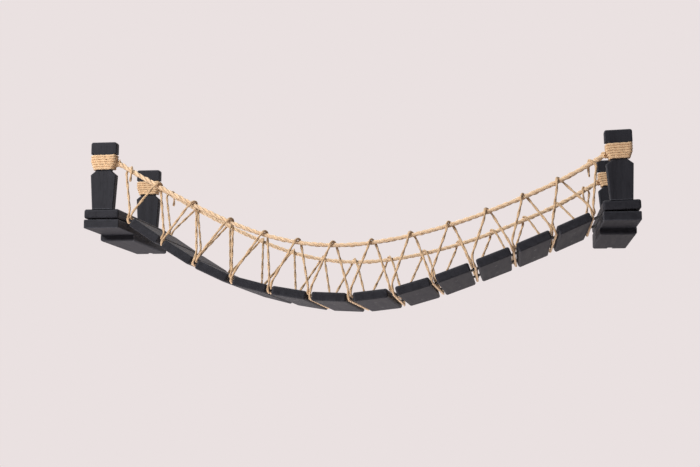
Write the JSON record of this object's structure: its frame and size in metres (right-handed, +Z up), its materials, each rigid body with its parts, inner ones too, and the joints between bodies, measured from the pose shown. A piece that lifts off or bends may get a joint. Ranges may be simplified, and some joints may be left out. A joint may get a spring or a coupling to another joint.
{
  "type": "cat wall bridge",
  "caption": "Suspended plank bridge for cats, hung on webbing straps between two wall brackets, with laced rope handrails on both sides.",
  "frame": {"origin": "centre of the four wall screw holes, on the wall plane, level with the straps in their clamps", "axes": "+X along the wall to the right seen from the room, +Y into the wall, +Z up"},
  "size_m": [0.87, 0.2827, 0.2604],
  "materials": {
    "painted_wood": "satin charcoal stain",
    "zinc_steel": "zinc plated",
    "winding_rope": "twisted jute cord",
    "rope": "twisted jute rope",
    "webbing": "woven flat strap"
  },
  "bodies": {
    "frame": {"left_lower_board": "painted_wood", "left_upper_board": "painted_wood", "left_wall_block": "painted_wood", "left_steel_bracket": "zinc_steel", "left_lock_screw": "zinc_steel", "left_post_screws": "zinc_steel", "left_board_screws": "zinc_steel", "left_front_post": "painted_wood", "left_front_winding": "winding_rope", "left_rear_post": "painted_wood", "left_rear_winding": "winding_rope", "right_lower_board": "painted_wood", "right_upper_board": "painted_wood", "right_wall_block": "painted_wood", "right_steel_bracket": "zinc_steel", "right_lock_screw": "zinc_steel", "right_post_screws": "zinc_steel", "right_board_screws": "zinc_steel", "right_front_post": "painted_wood", "right_front_winding": "winding_rope", "right_rear_post": "painted_wood", "right_rear_winding": "winding_rope", "front_strap": "webbing", "rear_strap": "webbing", "front_rail": "rope", "rear_rail": "rope", "first_lace": "rope", "second_lace": "rope"},
    "plank_01": {"plank_01": "painted_wood", "plank_01_brads": "zinc_steel"},
    "plank_02": {"plank_02": "painted_wood", "plank_02_brads": "zinc_steel"},
    "plank_03": {"plank_03": "painted_wood", "plank_03_brads": "zinc_steel"},
    "plank_04": {"plank_04": "painted_wood", "plank_04_brads": "zinc_steel"},
    "plank_05": {"plank_05": "painted_wood", "plank_05_brads": "zinc_steel"},
    "plank_06": {"plank_06": "painted_wood", "plank_06_brads": "zinc_steel"},
    "plank_07": {"plank_07": "painted_wood", "plank_07_brads": "zinc_steel"},
    "plank_08": {"plank_08": "painted_wood", "plank_08_brads": "zinc_steel"},
    "plank_09": {"plank_09": "painted_wood", "plank_09_brads": "zinc_steel"},
    "plank_10": {"plank_10": "painted_wood", "plank_10_brads": "zinc_steel"},
    "plank_11": {"plank_11": "painted_wood", "plank_11_brads": "zinc_steel"},
    "plank_12": {"plank_12": "painted_wood", "plank_12_brads": "zinc_steel"}
  },
  "joints": [
    {"name": "plank_01_rock", "type": "hinge", "parent": "frame", "child": "plank_01", "pos_m": [-0.33522, -0.158, -0.02013], "axis": [0, 1, 0], "range_deg": [-4, 4], "stiffness_Nm_per_rad": 0.5, "deforming": ["front_strap", "rear_strap"]},
    {"name": "plank_02_rock", "type": "hinge", "parent": "frame", "child": "plank_02", "pos_m": [-0.28214, -0.158, -0.0546], "axis": [0, 1, 0], "range_deg": [-4, 4], "stiffness_Nm_per_rad": 0.5},
    {"name": "plank_03_rock", "type": "hinge", "parent": "frame", "child": "plank_03", "pos_m": [-0.22573, -0.158, -0.08523], "axis": [0, 1, 0], "range_deg": [-4, 4], "stiffness_Nm_per_rad": 0.5},
    {"name": "plank_04_rock", "type": "hinge", "parent": "frame", "child": "plank_04", "pos_m": [-0.16499, -0.158, -0.10704], "axis": [0, 1, 0], "range_deg": [-4, 4], "stiffness_Nm_per_rad": 0.5},
    {"name": "plank_05_rock", "type": "hinge", "parent": "frame", "child": "plank_05", "pos_m": [-0.10312, -0.158, -0.12019], "axis": [0, 1, 0], "range_deg": [-4, 4], "stiffness_Nm_per_rad": 0.5},
    {"name": "plank_06_rock", "type": "hinge", "parent": "frame", "child": "plank_06", "pos_m": [-0.04027, -0.158, -0.12679], "axis": [0, 1, 0], "range_deg": [-4, 4], "stiffness_Nm_per_rad": 0.5},
    {"name": "plank_07_rock", "type": "hinge", "parent": "frame", "child": "plank_07", "pos_m": [0.0243, -0.158, -0.12454], "axis": [0, 1, 0], "range_deg": [-4, 4], "stiffness_Nm_per_rad": 0.5},
    {"name": "plank_08_rock", "type": "hinge", "parent": "frame", "child": "plank_08", "pos_m": [0.0896, -0.158, -0.11155], "axis": [0, 1, 0], "range_deg": [-4, 4], "stiffness_Nm_per_rad": 0.5},
    {"name": "plank_09_rock", "type": "hinge", "parent": "frame", "child": "plank_09", "pos_m": [0.15072, -0.158, -0.09169], "axis": [0, 1, 0], "range_deg": [-4, 4], "stiffness_Nm_per_rad": 0.5},
    {"name": "plank_10_rock", "type": "hinge", "parent": "frame", "child": "plank_10", "pos_m": [0.21285, -0.158, -0.06852], "axis": [0, 1, 0], "range_deg": [-4, 4], "stiffness_Nm_per_rad": 0.5},
    {"name": "plank_11_rock", "type": "hinge", "parent": "frame", "child": "plank_11", "pos_m": [0.27401, -0.158, -0.04424], "axis": [0, 1, 0], "range_deg": [-4, 4], "stiffness_Nm_per_rad": 0.5},
    {"name": "plank_12_rock", "type": "hinge", "parent": "frame", "child": "plank_12", "pos_m": [0.33507, -0.158, -0.01839], "axis": [0, 1, 0], "range_deg": [-4, 4], "stiffness_Nm_per_rad": 0.5}
  ]
}
